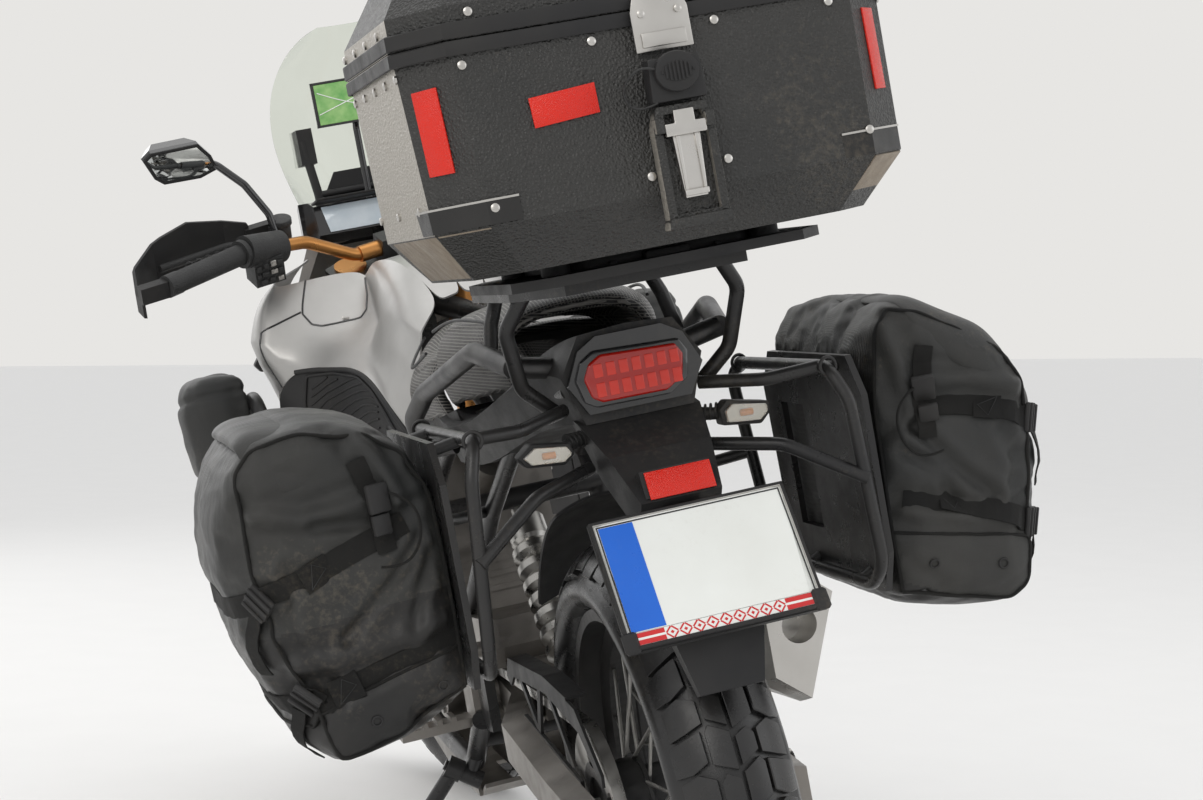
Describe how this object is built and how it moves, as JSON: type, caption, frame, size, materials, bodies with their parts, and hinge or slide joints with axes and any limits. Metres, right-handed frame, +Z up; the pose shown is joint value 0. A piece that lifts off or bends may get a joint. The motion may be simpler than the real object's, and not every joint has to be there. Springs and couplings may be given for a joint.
{
  "type": "adventure motorcycle",
  "caption": "Adventure motorcycle leaning on its side stand, with wire wheels, tall screen, hand guards, hard top case and soft side panniers.",
  "frame": {"origin": "centre of the bounding box's footprint, on the ground that the tyres and the side stand's foot rest on", "axes": "+Z up, -Y the way the machine faces, +X to the rider's left, the side it leans to"},
  "size_m": [1.0498, 2.3996, 1.4545],
  "materials": {
    "alloy": "satin",
    "bag_fabric": "coated fabric",
    "black_frame": "satin",
    "black_plastic": "matt",
    "bronze_alloy": "satin",
    "case_coat": "granular",
    "clear": "clear",
    "dark_alloy": "satin",
    "gloss_black": "gloss",
    "lamp_clear": "clear",
    "lamp_red": "gloss",
    "plate_white": "satin",
    "rubber": "matt",
    "seat_vinyl": "grained",
    "silver_paint": "satin",
    "steel": "brushed",
    "tyre": "wet rubber"
  },
  "bodies": {
    "frame": {"main_frame": "black_frame", "subframe": "black_frame", "engine": "dark_alloy", "radiators": "dark_alloy", "skid_plate": "alloy", "tank_cover": "silver_paint", "fairings": "silver_paint", "side_inserts": "black_plastic", "front_cowl": "silver_paint", "headlamps": "lamp_clear", "windscreen": "clear", "screen_brackets": "black_plastic", "dash": "gloss_black", "phone_holder": "gloss_black", "seat_rider": "seat_vinyl", "seat_pillion": "seat_vinyl", "tail_cowl": "black_plastic", "grab_rails": "dark_alloy", "rear_rack": "black_frame", "tail_light": "lamp_red", "plate_hanger": "black_plastic", "number_plate": "plate_white", "indicators": "lamp_clear", "pannier_racks": "black_frame", "panniers": "bag_fabric", "crash_bars": "black_frame", "guard_bags": "bag_fabric", "swingarm": "alloy", "shock": "steel", "chain": "steel", "chain_guard": "black_plastic", "rear_axle": "steel", "rear_caliper": "dark_alloy", "exhaust_pipe": "steel", "muffler": "alloy", "footpegs": "dark_alloy", "case_base": "black_plastic", "case_body": "case_coat", "case_latch": "black_plastic"},
    "steering": {"fork_yokes": "dark_alloy", "fork_legs": "bronze_alloy", "front_axle": "steel", "front_fender": "silver_paint", "handlebar": "bronze_alloy", "grips": "rubber", "mirrors": "gloss_black", "handguards": "black_plastic"},
    "front_wheel": {"front_wheel": "dark_alloy", "front_tyre": "tyre"},
    "rear_wheel": {"rear_wheel": "dark_alloy", "rear_tyre": "tyre"},
    "side_stand": {"side_stand": "black_frame"},
    "case_lid": {"case_lid": "case_coat"}
  },
  "joints": [
    {"name": "steering_turn", "type": "hinge", "parent": "frame", "child": "steering", "pos_m": [0.01446, -0.51432, 0.86874], "axis": [0.1677, 0.4591, 0.8724], "range_deg": [-50, 22]},
    {"name": "front_wheel_spin", "type": "hinge", "parent": "steering", "child": "front_wheel", "pos_m": [-0.07355, -0.85988, 0.33391], "axis": [0.9317, 0.2155, -0.2925], "continuous": true},
    {"name": "rear_wheel_spin", "type": "hinge", "parent": "frame", "child": "rear_wheel", "pos_m": [-0.09029, 0.71356, 0.32843], "axis": [0.982, 0.0006, -0.1891], "continuous": true},
    {"name": "side_stand_fold", "type": "hinge", "parent": "frame", "child": "side_stand", "pos_m": [0.06027, 0.02237, 0.22506], "axis": [0.8979, -0.1574, 0.4111], "range_deg": [0, 100.94]},
    {"name": "case_lid_open", "type": "hinge", "parent": "frame", "child": "case_lid", "pos_m": [0.07114, 0.76732, 1.24357], "axis": [0.982, 0.0006, -0.1891], "range_deg": [0, 80]}
  ]
}
